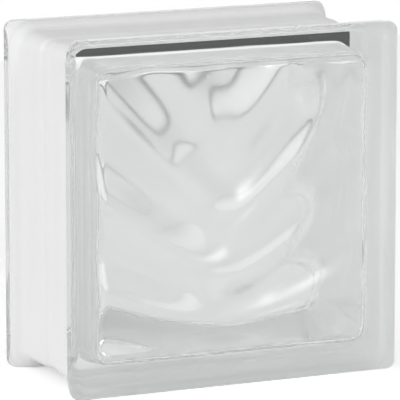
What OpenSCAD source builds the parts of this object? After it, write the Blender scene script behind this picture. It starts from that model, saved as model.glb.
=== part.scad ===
// Hollow glass block for walls and windows. Two pressed glass halves are fused at a seam at mid depth.
// The outer faces are flat, the inner faces carry waves, and the edge is a white-coated mortar channel.
// X runs across the face, Y from the front face to the back one, Z upwards from the lips it stands on.

/* [Block] */
// Side of the square face, over the lips
block_w = 197; // [180:1:240]
// Depth from the front face to the back face
block_d = 98.4; // [90:0.2:120]

/* [Edge] */
// Rounding between a face and its lip
edge_r = 3; // [2:0.1:4]
// Flat width of a lip, on which the block stands
lip_land = 5.2; // [3:0.1:6]
// Radius of the lip at the four corners of the face
lip_corner_r = 5.2; // [4.5:0.1:8]
// Length of the S-shaped shoulder between lip and channel floor
shoulder_len = 10; // [8:0.5:14]
// Depth of the mortar channel below the lips, in the groove at the seam
channel_depth = 7.2; // [6:0.1:8]
// Fall of the channel floor from the foot of the shoulder to the groove
floor_fall = 0.4; // [0.2:0.1:1]
// Radius of the bottom of the channel at the corners
channel_corner_r = 6.5; // [5:0.1:9]
// Width of the shallow groove along the seam, at its bottom
groove_w = 13; // [10:0.5:16]
// Depth of that groove below the channel floor
groove_depth = 1.2; // [0.4:0.1:1.6]
// Length of each S-shaped side of the groove
groove_side = 3.5; // [2.5:0.1:5]
// Width of the bead that the fused seam leaves
bead_w = 5; // [3:0.1:8]
// Height of that bead above the bottom of the groove
bead_h = 0.45; // [0.2:0.05:0.8]

/* [Hollow] */
// Glass between a flat outer face and the mean level of the waves
face_t = 7.2; // [7:0.1:12]
// Distance from the lip to the inner wall at the waves
wall_face = 16.6; // [15:0.1:19]
// Distance from the lip to the inner wall at the seam
wall_seam = 13.4; // [12.5:0.1:14.5]
// Radius of the inner wall at the corners
hollow_corner_r = 9; // [7:0.1:14]
// Fillet between the waves and the inner wall
hollow_fillet = 5; // [3:0.1:6]

/* [Waves] */
// Height of a wave from trough to crest, on the middle line of the face
wave_h = 2; // [1:0.1:3]
// Length of a wave along the middle line, at mid height
wave_len = 40; // [30:1:60]
// Climb over which the waves grow longer by a factor of e
wave_grow = 160; // [120:5:400]
// Height at which a wave rises through its mean level, from mid height
wave_start = -29; // [-40:1:40]
// Slope at which the wave lines rise to both sides, at mid height
wave_rise = 1.1; // [0.5:0.05:1.5]
// Distance to the side over which the wave lines spread to twice their spacing
wave_spread = 87; // [70:1:200]
// Rounding of the V in which the wave lines meet
wave_nose = 12; // [4:1:30]
// Share by which the waves are deeper at the left edge and shallower at the right one
wave_skew = 0.7; // [0:0.05:0.9]
// Height of the slow swell under the waves
swell_h = 1.6; // [0:0.1:2]
// Length of one swell
swell_len = 70; // [50:1:100]
// Direction in which the swells follow one another, turned up from the right
swell_turn = 143; // [0:1:180]

/* [Coating] */
// Thickness of the white coat in the mortar channel
coat_t = 0.3; // [0.2:0.05:0.6]
// Depth by which the coat stays below the lips
coat_clear = 0.15; // [0.1:0.05:0.4]

/* [Hidden] */

glass_green = [0.86, 0.92, 0.90];
coat_white = [0.93, 0.93, 0.92];

// Length by which a cutter runs past the face that it opens
past = 1;
micron = 0.001;
half_d = block_d / 2;

// Step from the lip down to the top of the shoulder, which keeps the face of the coat below the lip
coat_seat = coat_t + coat_clear;
shoulder_top = half_d - edge_r - lip_land - coat_seat;
shoulder_foot = shoulder_top - shoulder_len;
foot_depth = channel_depth - groove_depth - floor_fall;
bead_r = (pow(bead_w / 2, 2) + pow(bead_h, 2)) / (2 * bead_h);
bead_turn = asin(bead_w / (2 * bead_r));
channel_axis = channel_depth + channel_corner_r;
lip_flare = channel_axis;

edge_steps = 8;
shoulder_steps = 7;
groove_steps = 3;
bead_steps = 4;

// The hollow is a grid of square rings: waves in the middle, then the fillet, then the wall
floor_rings = 21;
fillet_rings = 4;
rings = floor_rings + fillet_rings + 1;
floor_half = block_w / 2 - wall_face - hollow_fillet;
floor_corner_r = hollow_corner_r - hollow_fillet;
wall_draft = atan((wall_face - wall_seam) / (half_d - face_t));

// Outlines of the edge as [height above the seam, inset from the lip] points, kept to whole microns so
// that the straight sides and the corners made from them meet exactly
function to_micron(points) = [for (p = points) [for (v = p) round(v / micron) * micron]];

function lip_outline() = to_micron(concat(
    [[0, 0]],
    [for (s = [0:edge_steps])
        let (turn = 90 * s / edge_steps)
        [half_d - edge_r + edge_r * sin(turn), edge_r - edge_r * cos(turn)]]
));

// S of two equal arcs between level stretches, rising from a depth towards the lip; the two chords that
// meet in its middle lie in line, so they are drawn as one
function s_bend(start, length, depth, rise, steps) =
    let (
        turn = 2 * atan(rise / length),
        r = length / (2 * sin(turn))
    )
    concat(
        [for (s = [0:steps - 1])
            let (t = turn * s / steps)
            [start + r * sin(t), depth - r * (1 - cos(t))]],
        [for (s = [steps - 1:-1:0])
            let (t = turn * s / steps)
            [start + length - r * sin(t), depth - rise + r * (1 - cos(t))]]
    );

// Half of the channel: seam bead, side of the groove, sloping floor, then the shoulder
function channel_outline() = to_micron(concat(
    [for (s = [0:bead_steps])
        let (turn = bead_turn * s / bead_steps)
        [bead_r * sin(turn), channel_depth - bead_h + bead_r * (1 - cos(turn))]],
    s_bend(groove_w / 2, groove_side, channel_depth, groove_depth, groove_steps),
    s_bend(shoulder_foot, shoulder_len, foot_depth, foot_depth - coat_seat, shoulder_steps)
));

// The slope that ends the lip runs on outwards, so that it also trims the lip at the corners
function glass_outline() = concat(
    [[-past, channel_depth - bead_h]],
    channel_outline(),
    [[shoulder_top + coat_seat + lip_flare, -lip_flare]]
);

// The coat lies on the channel from lip to lip
function coat_outline() =
    let (
        line = channel_outline(),
        across = concat([for (i = [len(line) - 1:-1:1]) [-line[i][0], line[i][1]]], line)
    )
    concat(
        [for (p = across) [p[0], p[1] - coat_t]],
        [for (i = [len(across) - 1:-1:0]) across[i]]
    );

// Solid inside an outline run round the square, its corners turned about an axis inset from the lip
module edge_solid(outline, axis) {
    reach = block_w / 2 - axis;
    right = [for (p = outline) [block_w / 2 - p[1], p[0]]];
    left = [for (i = [len(outline) - 1:-1:0]) [outline[i][1] - block_w / 2, outline[i][0]]];
    corner = concat(
        [[0, outline[0][0]]],
        [for (p = outline) [axis - p[1], p[0]]],
        [[0, outline[len(outline) - 1][0]]]
    );
    for (turn = [0, 90])
        rotate([90, 0, turn])
            linear_extrude(height = 2 * reach, center = true)
                polygon(concat(right, left));
    for (turn = [0:90:270])
        rotate([0, 0, turn])
            translate([reach, reach, 0])
                rotate_extrude(angle = 90, $fn = 64)
                    polygon(corner);
}

// Thin band with a closed outline as its section, run round the square in the same way
module edge_band(outline, axis) {
    reach = block_w / 2 - axis;
    for (turn = [0:90:270])
        rotate([0, 0, turn]) {
            rotate([90, 0, 0])
                linear_extrude(height = 2 * reach, center = true)
                    polygon([for (p = outline) [block_w / 2 - p[1], p[0]]]);
            translate([reach, reach, 0])
                rotate_extrude(angle = 90, $fn = 64)
                    polygon([for (p = outline) [axis - p[1], p[0]]]);
        }
}

// Level of the waves at a point of the inner face. The wave lines spread to both sides in nested Vs, and
// foot is the height at which the line through the point would meet the middle line.
function wave(x, z) =
    let (
        side = norm([x, wave_nose]) - wave_nose,
        spread = 1 + side / wave_spread,
        foot = (z - wave_rise * side) / spread,
        phase = 360 * wave_grow / wave_len * (exp(-wave_start / wave_grow) - exp(-foot / wave_grow)),
        height = wave_h * spread * (1 - wave_skew * x / (block_w / 2)),
        swell = 360 / swell_len * (x * cos(swell_turn) + z * sin(swell_turn))
    )
    height / 2 * sin(phase) + swell_h / 2 * sin(swell);

// Point of a square ring with its corners rounded
function round_off(p, half, r) =
    let (
        core = half - r,
        q = [max(abs(p[0]) - core, 0), max(abs(p[1]) - core, 0)],
        reach = r > 0 && norm(q) > 0 ? r / norm(q) : 0
    )
    [sign(p[0]) * (min(abs(p[0]), core) + q[0] * reach),
        sign(p[1]) * (min(abs(p[1]), core) + q[1] * reach)];

function floor_point(i, j) =
    let (
        m = max(abs(i), abs(j)),
        share = m / floor_rings
    )
    m == 0 ? [0, 0] : round_off(
        [floor_half * i / floor_rings, floor_half * j / floor_rings],
        floor_half * share,
        floor_corner_r * share
    );

function floor_level(p) = half_d - face_t - wave(p[0], p[1]);

// Point of the fillet or wall, above the rim of the waves in the same direction
function side_point(i, j) =
    let (
        m = max(abs(i), abs(j)),
        k = m - floor_rings,
        rim = floor_level(floor_point(i * floor_rings / m, j * floor_rings / m)),
        turn = (90 - wall_draft) * min(k, fillet_rings) / fillet_rings,
        at_wall = k > fillet_rings,
        out = at_wall
            ? wall_face + hollow_fillet - wall_seam + past * tan(wall_draft)
            : hollow_fillet * sin(turn),
        half = floor_half + out,
        p = round_off([half * i / m, half * j / m], half, floor_corner_r + out)
    )
    [p[0], p[1], at_wall ? -past : rim - hollow_fillet * (1 - cos(turn))];

function hollow_point(i, j) =
    max(abs(i), abs(j)) <= floor_rings
        ? let (p = floor_point(i, j)) [p[0], p[1], floor_level(p)]
        : side_point(i, j);

// The pressing tool that forms the hollow of one half
module plunger() {
    row = 2 * rings + 1;
    last = row - 1;
    points = [for (i = [-rings:rings]) for (j = [-rings:rings]) hollow_point(i, j)];
    cells = [
        for (i = [0:last - 1]) for (j = [0:last - 1])
        let (a = i * row + j, b = a + row)
        each [[a, a + 1, b + 1], [a, b + 1, b]]
    ];
    open_end = concat(
        [for (i = [0:last - 1]) i * row],
        [for (j = [0:last - 1]) last * row + j],
        [for (i = [last:-1:1]) i * row + last],
        [for (j = [last:-1:1]) j]
    );
    polyhedron(points, concat(cells, [open_end]));
}

// One pressed half, seam downwards
module half() {
    difference() {
        intersection() {
            edge_solid(lip_outline(), lip_corner_r);
            edge_solid(glass_outline(), channel_axis);
        }
        plunger();
    }
}

// Stands a half up, its face to the front
module stand() {
    translate([0, 0, block_w / 2])
        rotate([90, 0, 0])
            children();
}

// The back half is a second front half, turned round on its lips
module turned() {
    rotate([0, 0, 180])
        children();
}

module front_half() {
    color(glass_green)
        stand()
            half();
}

module back_half() {
    color(glass_green)
        turned()
            stand()
                half();
}

module edge_coating() {
    color(coat_white)
        stand()
            edge_band(coat_outline(), channel_axis);
}

front_half();
back_half();
edge_coating();
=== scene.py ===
import math

import bmesh
import bpy
import numpy as np
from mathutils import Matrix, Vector


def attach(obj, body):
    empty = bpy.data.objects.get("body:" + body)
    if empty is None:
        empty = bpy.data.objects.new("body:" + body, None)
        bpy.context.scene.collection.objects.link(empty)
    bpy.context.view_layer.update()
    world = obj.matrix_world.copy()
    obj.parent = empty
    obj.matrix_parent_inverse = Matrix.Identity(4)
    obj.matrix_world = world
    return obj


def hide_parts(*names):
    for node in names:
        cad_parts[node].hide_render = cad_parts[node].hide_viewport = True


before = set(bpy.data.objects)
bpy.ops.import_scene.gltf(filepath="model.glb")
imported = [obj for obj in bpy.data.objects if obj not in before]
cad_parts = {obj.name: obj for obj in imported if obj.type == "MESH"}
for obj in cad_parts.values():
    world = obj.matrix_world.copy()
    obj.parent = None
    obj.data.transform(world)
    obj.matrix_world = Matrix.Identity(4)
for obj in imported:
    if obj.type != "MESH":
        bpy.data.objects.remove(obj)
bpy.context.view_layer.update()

scene = bpy.context.scene

# Glass body: two halves of clear soda-lime glass, each pressed in a mould and fused to the other at mid
# depth into one sealed, hollow block. The faces are flat outside, and the plunger leaves waves inside.
# Sizes are in metres, as in the frame.

BLOCK_W = 0.197
BLOCK_D = 0.0984
EDGE_R = 0.003
LIP_LAND = 0.0052
LIP_CORNER_R = 0.0052
SHOULDER_LEN = 0.010
CHANNEL_DEPTH = 0.0072
FLOOR_FALL = 0.0004
CHANNEL_CORNER_R = 0.0065
GROOVE_W = 0.013
GROOVE_DEPTH = 0.0012
GROOVE_SIDE = 0.0035
BEAD_W = 0.005
BEAD_H = 0.00045
COAT_T = 0.0003
COAT_CLEAR = 0.00015
FACE_T = 0.0072
WALL_FACE = 0.0166
WALL_SEAM = 0.0134
HOLLOW_CORNER_R = 0.009
HOLLOW_FILLET = 0.005
WAVE_H = 0.002
WAVE_LEN = 0.040
WAVE_GROW = 0.160
WAVE_START = -0.029
WAVE_RISE = 1.1
WAVE_SPREAD = 0.087
WAVE_NOSE = 0.012
WAVE_SKEW = 0.7
SWELL_H = 0.0016
SWELL_LEN = 0.070
SWELL_TURN = math.radians(143)

half_w = BLOCK_W / 2
half_d = BLOCK_D / 2
land_top = half_d - EDGE_R
coat_seat = COAT_T + COAT_CLEAR
shoulder_top = land_top - LIP_LAND - coat_seat
shoulder_foot = shoulder_top - SHOULDER_LEN
foot_depth = CHANNEL_DEPTH - GROOVE_DEPTH - FLOOR_FALL
bead_r = (BEAD_W ** 2 / 4 + BEAD_H ** 2) / (2 * BEAD_H)
bead_turn = math.asin(BEAD_W / (2 * bead_r))
channel_axis = CHANNEL_DEPTH + CHANNEL_CORNER_R
wall_draft = math.atan((WALL_FACE - WALL_SEAM) / (half_d - FACE_T))

BEAD_POINTS = 7
GROOVE_POINTS = 7
SHOULDER_POINTS = 15
SLOPE_POINTS = 6
ROUND_POINTS = 13
SIDE_TURNS = 22
CORNER_TURNS = 30
CORNER_ZONE = 0.016
FACE_STRIP = 0.0004
FLOOR_RINGS = 56
FILLET_RINGS = 8
WALL_RINGS = 4
MERGE_GAP = 1e-7
SHARP_TURN = math.radians(35)


def s_bend(start, length, depth, rise, count):
    """Heights and insets along an S of two equal arcs, level at both ends. Each arc turns through
    2 atan(rise / length), and the far end lies `rise` nearer to the lip than the start."""
    turn = 2 * math.atan(rise / length)
    r = length / (2 * math.sin(turn))
    out = turn * np.linspace(0.0, 1.0, count)
    back = out[-2::-1]
    h = np.concatenate([start + r * np.sin(out), start + length - r * np.sin(back)])
    inset = np.concatenate([depth - r * (1 - np.cos(out)), depth - rise + r * (1 - np.cos(back))])
    return np.stack([h, inset])


def channel_line():
    """Heights above the seam and insets from the lip along half of the channel: the arc of the seam
    bead, the S-shaped side of the groove, the sloping floor, then the S-shaped shoulder."""
    t = bead_turn * np.linspace(0.0, 1.0, BEAD_POINTS)
    bead = np.stack([bead_r * np.sin(t), CHANNEL_DEPTH - BEAD_H + bead_r * (1 - np.cos(t))])
    groove = s_bend(GROOVE_W / 2, GROOVE_SIDE, CHANNEL_DEPTH, GROOVE_DEPTH, GROOVE_POINTS)
    shoulder = s_bend(shoulder_foot, SHOULDER_LEN, foot_depth, foot_depth - coat_seat, SHOULDER_POINTS)
    return np.concatenate([bead, groove, shoulder], axis=1)


def square_reach(turn, half, corner):
    """Distance from the middle out to a rounded square of half side `half`, in the direction `turn`: to
    the flat side where the ray leaves through one, else to the arc of the corner."""
    c = np.maximum(np.abs(np.cos(turn)), np.abs(np.sin(turn)))
    s = np.minimum(np.abs(np.cos(turn)), np.abs(np.sin(turn)))
    core = half - corner
    along = core * (c + s)
    arc = along + np.sqrt(np.maximum(along ** 2 - 2 * core ** 2 + corner ** 2, 0.0))
    return np.where(half * s / c <= core, half / c, arc)


def channel_reach(turn, inset):
    """Reach of the channel's outline at a depth `inset` below the lip; its corners share one axis."""
    return square_reach(turn, half_w - inset, channel_axis - inset)


def lip_reach(turn, inset):
    """Reach of the lip's outline, drawn in by `inset`."""
    return square_reach(turn, half_w - inset, LIP_CORNER_R - inset)


def slope_climb(turn, clear):
    """Height past the lip's level at which the slope that ends the lip meets the lip's outline, drawn
    in by `clear`. Along a side that is -clear; round a corner it is the distance of the outline from
    the channel's corner axis, less the inset of that axis."""
    reach = lip_reach(turn, clear)
    core = half_w - channel_axis
    x = np.maximum(np.abs(reach * np.cos(turn)) - core, 0.0)
    z = np.maximum(np.abs(reach * np.sin(turn)) - core, 0.0)
    return np.hypot(x, z) - channel_axis


def turns_round():
    """Directions round the square, even along the sides and closer together over the corners."""
    edge = math.atan2(half_w - CORNER_ZONE, half_w)
    side = np.arctan(np.linspace(-math.tan(edge), math.tan(edge), SIDE_TURNS, endpoint=False))
    corner = np.linspace(edge, math.pi / 2 - edge, CORNER_TURNS, endpoint=False)
    quarter = np.concatenate([side, corner])
    return (quarter + math.pi / 2 * np.arange(4)[:, None]).ravel()


def ring_points(turn, height, reach):
    """Points `reach` from the block's axis in the directions `turn`, `height` in front of the seam."""
    turn, height, reach = np.broadcast_arrays(turn, height, reach)
    return np.stack([reach * np.cos(turn), -height, reach * np.sin(turn)], axis=-1)


def glass_outside(turn):
    """Rings of a half's outer skin from the seam to the face: the channel, the slope that ends the lip,
    the flat of the lip, the quarter round of radius EDGE_R, then a narrow flat strip that frames the
    face and keeps its normals straight."""
    line_h, line_inset = channel_line()[:, :, None]
    climb = coat_seat + slope_climb(turn, 0.0)
    foot = shoulder_top + climb
    step = np.linspace(0.0, 1.0, SLOPE_POINTS)[1:, None]
    quarter = np.linspace(0.0, math.pi / 2, ROUND_POINTS)[1:, None]
    round_h = land_top + EDGE_R * np.sin(quarter)
    round_inset = EDGE_R * (1 - np.cos(quarter))
    return np.concatenate([
        ring_points(turn, line_h, channel_reach(turn, line_inset)),
        ring_points(turn, shoulder_top + step * climb, channel_reach(turn, coat_seat - step * climb)),
        ring_points(turn, foot + step * (land_top - foot), lip_reach(turn, 0.0)),
        ring_points(turn, round_h, lip_reach(turn, round_inset)),
        ring_points(turn[None], half_d, lip_reach(turn, EDGE_R + FACE_STRIP)),
    ])


def wave(x, z):
    """Level of the waves on an inner face, from its middle. The wave lines spread to both sides in
    nested Vs: a line that meets the middle line at the height `foot` rises beside it by
    WAVE_RISE + foot / WAVE_SPREAD. Along the middle line the waves lengthen upwards by
    exp(foot / WAVE_GROW). A slow swell lies below."""
    side = np.hypot(x, WAVE_NOSE) - WAVE_NOSE
    spread = 1 + side / WAVE_SPREAD
    foot = (z - WAVE_RISE * side) / spread
    climbed = np.exp(-WAVE_START / WAVE_GROW) - np.exp(-foot / WAVE_GROW)
    height = WAVE_H * spread * (1 - WAVE_SKEW * x / half_w)
    along = x * math.cos(SWELL_TURN) + z * math.sin(SWELL_TURN)
    waves = height / 2 * np.sin(2 * math.pi * WAVE_GROW / WAVE_LEN * climbed)
    return waves + SWELL_H / 2 * np.sin(2 * math.pi * along / SWELL_LEN)


def round_off(x, z, half, corner):
    """Points of a square ring of half side `half`, drawn in to the arc where its corners are rounded."""
    core = half - corner
    qx = np.maximum(np.abs(x) - core, 0.0)
    qz = np.maximum(np.abs(z) - core, 0.0)
    far = np.hypot(qx, qz)
    k = np.where(far > 0, corner / np.where(far > 0, far, 1.0), 0.0)
    round_x = np.sign(x) * (np.minimum(np.abs(x), core) + qx * k)
    round_z = np.sign(z) * (np.minimum(np.abs(z), core) + qz * k)
    return round_x, round_z


def glass_inside():
    """One half of the hollow as a grid of square rings: the waved face, then a fillet of radius
    HOLLOW_FILLET and the drafted wall, which rise from the rim of the waves to the seam."""
    rings = FLOOR_RINGS + FILLET_RINGS + WALL_RINGS
    index = np.arange(-rings, rings + 1.0)
    i, j = np.meshgrid(index, index, indexing="ij")
    ring = np.maximum(np.maximum(np.abs(i), np.abs(j)), 1.0)
    floor_half = half_w - WALL_FACE - HOLLOW_FILLET
    floor_corner = HOLLOW_CORNER_R - HOLLOW_FILLET
    share = np.minimum(ring / FLOOR_RINGS, 1.0)
    floor = floor_half * share
    fx, fz = round_off(floor * i / ring, floor * j / ring, floor, floor_corner * share)
    level = half_d - FACE_T - wave(fx, fz)
    turn = (math.pi / 2 - wall_draft) * np.clip((ring - FLOOR_RINGS) / FILLET_RINGS, 0.0, 1.0)
    rise = np.clip((ring - FLOOR_RINGS - FILLET_RINGS) / WALL_RINGS, 0.0, 1.0)
    out = HOLLOW_FILLET * np.sin(turn)
    out = out + (WALL_FACE + HOLLOW_FILLET - WALL_SEAM - out) * rise
    height = (level - HOLLOW_FILLET * (1 - np.cos(turn))) * (1 - rise)
    half = floor_half + out
    sx, sz = round_off(half * i / ring, half * j / ring, half, floor_corner + out)
    on_floor = ring <= FLOOR_RINGS
    return np.stack([np.where(on_floor, fx, sx), -height, np.where(on_floor, fz, sz)], axis=-1)


def waved_quads():
    """Which quads of a half of the hollow lie on its waved face."""
    rings = FLOOR_RINGS + FILLET_RINGS + WALL_RINGS
    on_face = np.abs(np.arange(2 * rings) + 0.5 - rings) < FLOOR_RINGS
    return np.outer(on_face, on_face).ravel()


def grid_quads(shape, first, closed):
    """Quads between the rows of a grid of points; a closed grid joins its last column to its first."""
    rows, cols = shape[:2]
    r, c = np.meshgrid(np.arange(rows - 1), np.arange(cols if closed else cols - 1), indexing="ij")
    a = first + r * cols + c
    b = first + r * cols + (c + 1) % cols
    return np.stack([a, b, b + cols, a + cols], axis=-1).reshape(-1, 4)


def add_piece(name, points, faces, materials, slots, hollow):
    """A mesh object from points and faces, with a material slot for each face, doubles merged and faces
    turned outwards. The `hollow` faces, which wall an air space, are turned to look into that space."""
    mesh = bpy.data.meshes.new(name)
    mesh.from_pydata(points, [], faces)
    for material in materials:
        mesh.materials.append(material)
    mesh.polygons.foreach_set("material_index", slots)
    shell = bmesh.new()
    shell.from_mesh(mesh)
    shell.faces.ensure_lookup_table()
    inner = shell.faces[hollow]
    bmesh.ops.remove_doubles(shell, verts=shell.verts, dist=MERGE_GAP)
    bmesh.ops.recalc_face_normals(shell, faces=shell.faces)
    bmesh.ops.reverse_faces(shell, faces=inner)
    shell.to_mesh(mesh)
    shell.free()
    mesh.polygons.foreach_set("use_smooth", np.ones(len(mesh.polygons), dtype=bool))
    mesh.set_sharp_from_angle(angle=SHARP_TURN)
    piece = bpy.data.objects.new(name, mesh)
    scene.collection.objects.link(piece)
    return piece


def streak_group():
    """Node group: a mask of soft streaks, a noise on the object's coordinates stretched by its own factor
    on each axis. `Stretch` is in streaks per metre, `Detail` in octaves."""
    group = bpy.data.node_groups.new("soft_streaks", "ShaderNodeTree")
    group.interface.new_socket("Stretch", in_out="INPUT", socket_type="NodeSocketVector")
    group.interface.new_socket("Detail", in_out="INPUT", socket_type="NodeSocketFloat")
    group.interface.new_socket("Mask", in_out="OUTPUT", socket_type="NodeSocketFloat")
    given = group.nodes.new("NodeGroupInput")
    place = group.nodes.new("ShaderNodeTexCoord")
    scale = group.nodes.new("ShaderNodeVectorMath")
    scale.operation = "MULTIPLY"
    noise = group.nodes.new("ShaderNodeTexNoise")
    noise.inputs["Scale"].default_value = 1.0
    result = group.nodes.new("NodeGroupOutput")
    group.links.new(place.outputs["Object"], scale.inputs[0])
    group.links.new(given.outputs["Stretch"], scale.inputs[1])
    group.links.new(scale.outputs["Vector"], noise.inputs["Vector"])
    group.links.new(given.outputs["Detail"], noise.inputs["Detail"])
    group.links.new(noise.outputs["Fac"], result.inputs["Mask"])
    return group


def streak_mask(tree, stretch, detail):
    """The streak group placed in a material, with its own stretch and detail."""
    node = tree.nodes.new("ShaderNodeGroup")
    node.node_tree = soft_streaks
    node.inputs["Stretch"].default_value = stretch
    node.inputs["Detail"].default_value = detail
    return node.outputs["Mask"]


def finish(name, stretch, detail, colours, roughness, depth):
    """A Principled material whose colour and roughness run between two values over a streak mask, with the
    same mask as a bump of the given depth. Returns the material and its shader."""
    material = bpy.data.materials.new(name)
    material.use_nodes = True
    tree = material.node_tree
    shader = tree.nodes["Principled BSDF"]
    mask = streak_mask(tree, stretch, detail)
    tint = tree.nodes.new("ShaderNodeValToRGB")
    tint.color_ramp.elements[0].color = (*colours[0], 1.0)
    tint.color_ramp.elements[1].color = (*colours[1], 1.0)
    haze = tree.nodes.new("ShaderNodeMapRange")
    haze.inputs["To Min"].default_value = roughness[0]
    haze.inputs["To Max"].default_value = roughness[1]
    relief = tree.nodes.new("ShaderNodeBump")
    relief.inputs["Distance"].default_value = depth
    tree.links.new(mask, tint.inputs["Fac"])
    tree.links.new(mask, haze.inputs["Value"])
    tree.links.new(mask, relief.inputs["Height"])
    tree.links.new(tint.outputs["Color"], shader.inputs["Base Color"])
    tree.links.new(haze.outputs["Result"], shader.inputs["Roughness"])
    tree.links.new(relief.outputs["Normal"], shader.inputs["Normal"])
    return material, shader


GLASS_TINTS = ((0.974, 0.986, 0.985), (0.986, 0.994, 0.993))
GLASS_IOR = 1.52
FACE_STREAKS = (30.0, 30.0, 30.0)
FACE_DETAIL = 2.0
FACE_DEPTH = 0.000002
FACE_HAZE = (0.0, 0.01)
WAVE_STREAKS = (90.0, 90.0, 25.0)
WAVE_DETAIL = 3.0
WAVE_DEPTH = 0.000004
WAVE_HAZE = (0.10, 0.20)

soft_streaks = streak_group()
glass_finishes = []
for name, streaks, detail, haze, depth in (
    ("polished_glass", FACE_STREAKS, FACE_DETAIL, FACE_HAZE, FACE_DEPTH),
    ("pressed_glass", WAVE_STREAKS, WAVE_DETAIL, WAVE_HAZE, WAVE_DEPTH),
):
    glass, shader = finish(name, streaks, detail, GLASS_TINTS, haze, depth)
    shader.inputs["IOR"].default_value = GLASS_IOR
    shader.inputs["Transmission Weight"].default_value = 1.0
    glass_finishes.append(glass)

mid_height = np.array([0.0, 0.0, half_w])
mirrored = np.array([1.0, -1.0, 1.0])
turned_round = np.array([-1.0, -1.0, 1.0])
turns = turns_round()
half_skin = glass_outside(turns)
skin = np.concatenate([half_skin[::-1], half_skin[1:] * mirrored])
half_hollow = glass_inside()
hollow = np.stack([half_hollow, half_hollow * turned_round])
glass_points = np.concatenate([skin.reshape(-1, 3), hollow.reshape(-1, 3)]) + mid_height
skin_count = skin.shape[0] * skin.shape[1]
half_count = half_hollow.shape[0] * half_hollow.shape[1]
skin_quads = grid_quads(skin.shape, 0, True)
hollow_quads = np.concatenate([
    grid_quads(half_hollow.shape, skin_count, False),
    grid_quads(half_hollow.shape, skin_count + half_count, False),
])
front_face = np.arange(skin.shape[1])
back_face = front_face[::-1] + skin_count - skin.shape[1]
glass_faces = skin_quads.tolist() + hollow_quads.tolist() + [front_face.tolist(), back_face.tolist()]
hollow_part = slice(len(skin_quads), len(skin_quads) + len(hollow_quads))
glass_slots = np.zeros(len(glass_faces), dtype=np.int32)
glass_slots[hollow_part] = np.tile(waved_quads(), 2)
glass_body = add_piece("glass_body", glass_points, glass_faces, glass_finishes, glass_slots, hollow_part)
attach(glass_body, "root")
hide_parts("front_half", "back_half")

# Edge coat: a thin layer of white polymer paint, brushed along the mortar channel and bonded to the glass.
# It gives the mortar a grip and hides it from the faces, and it stops just below the clear lips.

COAT_BOND = 0.00005
COAT_WHITES = ((0.945, 0.947, 0.943), (0.975, 0.976, 0.972))
COAT_STREAKS = (6.0, 900.0, 6.0)
COAT_DETAIL = 4.0
COAT_HAZE = (0.40, 0.60)
COAT_DEPTH = 0.00004
COAT_SCATTER = 0.0004


def coat_side(turn, depth):
    """Rings along one side of the coat, `depth` below the channel line, from the seam to the lip: along
    that line, then up the slope that ends the lip, to the trimmed edge just inside the lip's outline."""
    line_h, line_inset = channel_line()[:, :, None]
    start = coat_seat + depth
    climb = start + slope_climb(turn, COAT_CLEAR)
    step = np.linspace(0.0, 1.0, SLOPE_POINTS)[1:, None]
    return np.concatenate([
        ring_points(turn, line_h, channel_reach(turn, line_inset + depth)),
        ring_points(turn, shoulder_top + step * climb, channel_reach(turn, start - step * climb)),
    ])


def coat_band(turn):
    """The closed section of the coat carried round the square: its face from lip to lip, then its bonded
    side back again."""
    face = coat_side(turn, -COAT_T)
    bonded = coat_side(turn, COAT_BOND)
    return np.concatenate([
        face[:0:-1] * mirrored,
        face,
        bonded[::-1],
        bonded[1:] * mirrored,
        face[-1:] * mirrored,
    ])


edge_paint, shader = finish("edge_paint", COAT_STREAKS, COAT_DETAIL, COAT_WHITES, COAT_HAZE, COAT_DEPTH)
shader.inputs["Subsurface Weight"].default_value = 1.0
shader.inputs["Subsurface Radius"].default_value = (1.0, 1.0, 1.0)
shader.inputs["Subsurface Scale"].default_value = COAT_SCATTER

band = coat_band(turns)
coat_points = band.reshape(-1, 3) + mid_height
coat_quads = grid_quads(band.shape, 0, True).tolist()
coat_slots = np.zeros(len(coat_quads), dtype=np.int32)
edge_coat = add_piece("edge_coat", coat_points, coat_quads, (edge_paint,), coat_slots, slice(0, 0))
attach(edge_coat, "root")
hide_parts("edge_coating")

# Studio: a pale table that ends behind the block, a bright backdrop past a dark gap, a dimmer room on the
# viewer's side and two soft boxes, at the left and at the front. A long lens looks slightly down on the
# block from its left.

# Directions on the backdrop, such as GAP_TOP, are parts of a unit vector, and a height of 0 is the horizon.
# A soft box is its place, its side and its watts.
FLOOR_HALF = 6.0
FLOOR_BACK = 1.12
FLOOR_Z = -0.0002
FLOOR_WHITE = 0.97
FLOOR_CAMERA_LIFT = 0.38
FLOOR_GLASS_LIFT = 0.16
GAP_TOP = -0.09
GAP_SOFT = 0.035
GAP_LEVEL = 0.06
HORIZON_LEVEL = 0.85
BACKDROP_LEVELS = ((0.06, 0.92), (0.25, 1.0))
TOP_AT = 0.90
TOP_LEVEL = 0.40
ROOM_LEVEL = 0.46
ROOM_FROM = -0.85
ROOM_TO = -0.10
RIGHT_LEVEL = 0.50
RIGHT_FROM = 0.30
RIGHT_TO = 0.85
LEFT_BOX = ((-2.4, -1.2, 1.0), 2.0, 19.0)
FRONT_BOX = ((0.2, -2.3, 1.15), 0.6, 14.0)
VIEW_TURN = math.radians(-24.76)
VIEW_RISE = math.radians(10.52)
VIEW_DISTANCE = 2.274
VIEW_TARGET = Vector((-0.00018, 0.0, 0.09576))
LENS_PX = 4072.0
FRAME_PX = 400.0


def linked_math(tree, operation, a, b):
    """A math node on two sockets; returns its value."""
    node = tree.nodes.new("ShaderNodeMath")
    node.operation = operation
    tree.links.new(a, node.inputs[0])
    tree.links.new(b, node.inputs[1])
    return node.outputs["Value"]


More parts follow.
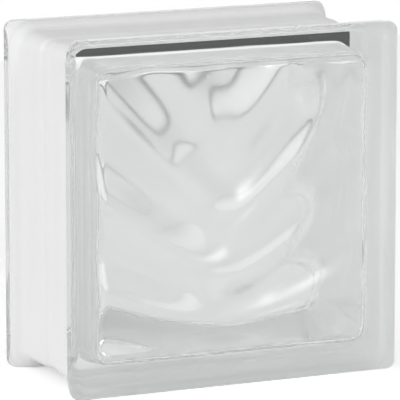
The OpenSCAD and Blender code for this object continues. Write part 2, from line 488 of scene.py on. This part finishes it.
def ranged(tree, value, start, stop, low, high):
    """A smooth step from `low` to `high` as the value goes from `start` to `stop`."""
    node = tree.nodes.new("ShaderNodeMapRange")
    node.interpolation_type = "SMOOTHSTEP"
    node.inputs["From Min"].default_value = start
    node.inputs["From Max"].default_value = stop
    node.inputs["To Min"].default_value = low
    node.inputs["To Max"].default_value = high
    tree.links.new(value, node.inputs["Value"])
    return node.outputs["Result"]


def grey(level):
    """A neutral colour of the given level."""
    return (level, level, level, 1.0)


world = bpy.data.worlds.new("backdrop")
world.use_nodes = True
scene.world = world
tree = world.node_tree
glow = tree.nodes["Background"]
glow.inputs["Color"].default_value = grey(1.0)
sight = tree.nodes.new("ShaderNodeLightPath")
way = tree.nodes.new("ShaderNodeTexCoord")
axes = tree.nodes.new("ShaderNodeSeparateXYZ")
tree.links.new(way.outputs["Generated"], axes.inputs["Vector"])
share = tree.nodes.new("ShaderNodeMapRange")
share.inputs["From Min"].default_value = -1.0
tree.links.new(axes.outputs["Z"], share.inputs["Value"])
heights = tree.nodes.new("ShaderNodeValToRGB")
stops = heights.color_ramp.elements
stops[0].position = (GAP_TOP - GAP_SOFT + 1) / 2
stops[0].color = grey(GAP_LEVEL)
stops[1].position = (TOP_AT + 1) / 2
stops[1].color = grey(TOP_LEVEL)
for at, shade in ((GAP_TOP + GAP_SOFT, HORIZON_LEVEL), *BACKDROP_LEVELS):
    stops.new((at + 1) / 2).color = grey(shade)
tree.links.new(share.outputs["Result"], heights.inputs["Fac"])
room = ranged(tree, axes.outputs["Y"], ROOM_FROM, ROOM_TO, ROOM_LEVEL, 1.0)
right = ranged(tree, axes.outputs["X"], RIGHT_FROM, RIGHT_TO, 1.0, RIGHT_LEVEL)
sides = linked_math(tree, "MULTIPLY", room, right)
level = linked_math(tree, "MULTIPLY", sides, heights.outputs["Color"])
level = linked_math(tree, "MAXIMUM", level, sight.outputs["Is Camera Ray"])
tree.links.new(level, glow.inputs["Strength"])

table_paint = bpy.data.materials.new("table_paint")
table_paint.use_nodes = True
tree = table_paint.node_tree
tree.nodes.clear()
matt = tree.nodes.new("ShaderNodeBsdfDiffuse")
matt.inputs["Color"].default_value = grey(FLOOR_WHITE)
lift = tree.nodes.new("ShaderNodeEmission")
both = tree.nodes.new("ShaderNodeAddShader")
shown = tree.nodes.new("ShaderNodeOutputMaterial")
sight = tree.nodes.new("ShaderNodeLightPath")
to_camera = ranged(tree, sight.outputs["Is Camera Ray"], 0.0, 1.0, 0.0, FLOOR_CAMERA_LIFT)
to_glass = ranged(tree, sight.outputs["Is Transmission Ray"], 0.0, 1.0, 0.0, FLOOR_GLASS_LIFT)
tree.links.new(linked_math(tree, "ADD", to_camera, to_glass), lift.inputs["Strength"])
tree.links.new(matt.outputs["BSDF"], both.inputs[0])
tree.links.new(lift.outputs["Emission"], both.inputs[1])
tree.links.new(both.outputs["Shader"], shown.inputs["Surface"])

floor_x = np.array([-FLOOR_HALF, FLOOR_HALF, FLOOR_HALF, -FLOOR_HALF])
floor_y = np.array([-FLOOR_HALF, -FLOOR_HALF, FLOOR_BACK, FLOOR_BACK])
floor_mesh = bpy.data.meshes.new("table")
floor_mesh.from_pydata(np.stack([floor_x, floor_y, np.full(4, FLOOR_Z)], axis=-1), [], [[0, 1, 2, 3]])
floor_mesh.materials.append(table_paint)
floor = bpy.data.objects.new("table", floor_mesh)
scene.collection.objects.link(floor)

for name, (place, side, watts) in (("left_soft_box", LEFT_BOX), ("front_soft_box", FRONT_BOX)):
    box_light = bpy.data.lights.new(name, "AREA")
    box_light.shape = "SQUARE"
    box_light.size = side
    box_light.energy = watts
    soft_box = bpy.data.objects.new(name, box_light)
    soft_box.location = place
    soft_box.rotation_euler = (Vector(place) - VIEW_TARGET).to_track_quat("Z", "Y").to_euler()
    scene.collection.objects.link(soft_box)

lens = bpy.data.cameras.new("camera")
lens.sensor_fit = "HORIZONTAL"
lens.lens = LENS_PX / FRAME_PX * lens.sensor_width
camera = bpy.data.objects.new("camera", lens)
towards = Vector((math.sin(VIEW_TURN), -math.cos(VIEW_TURN), math.tan(VIEW_RISE))).normalized()
camera.location = VIEW_TARGET + VIEW_DISTANCE * towards
camera.rotation_euler = towards.to_track_quat("Z", "Y").to_euler()
scene.collection.objects.link(camera)
scene.camera = camera

GLASS_BOUNCES = 32
PAINT_BOUNCES = 6
scene.view_settings.view_transform = "Standard"
scene.cycles.blur_glossy = 0.0
scene.cycles.max_bounces = GLASS_BOUNCES
scene.cycles.transmission_bounces = GLASS_BOUNCES
scene.cycles.glossy_bounces = GLASS_BOUNCES // 2
scene.cycles.diffuse_bounces = PAINT_BOUNCES
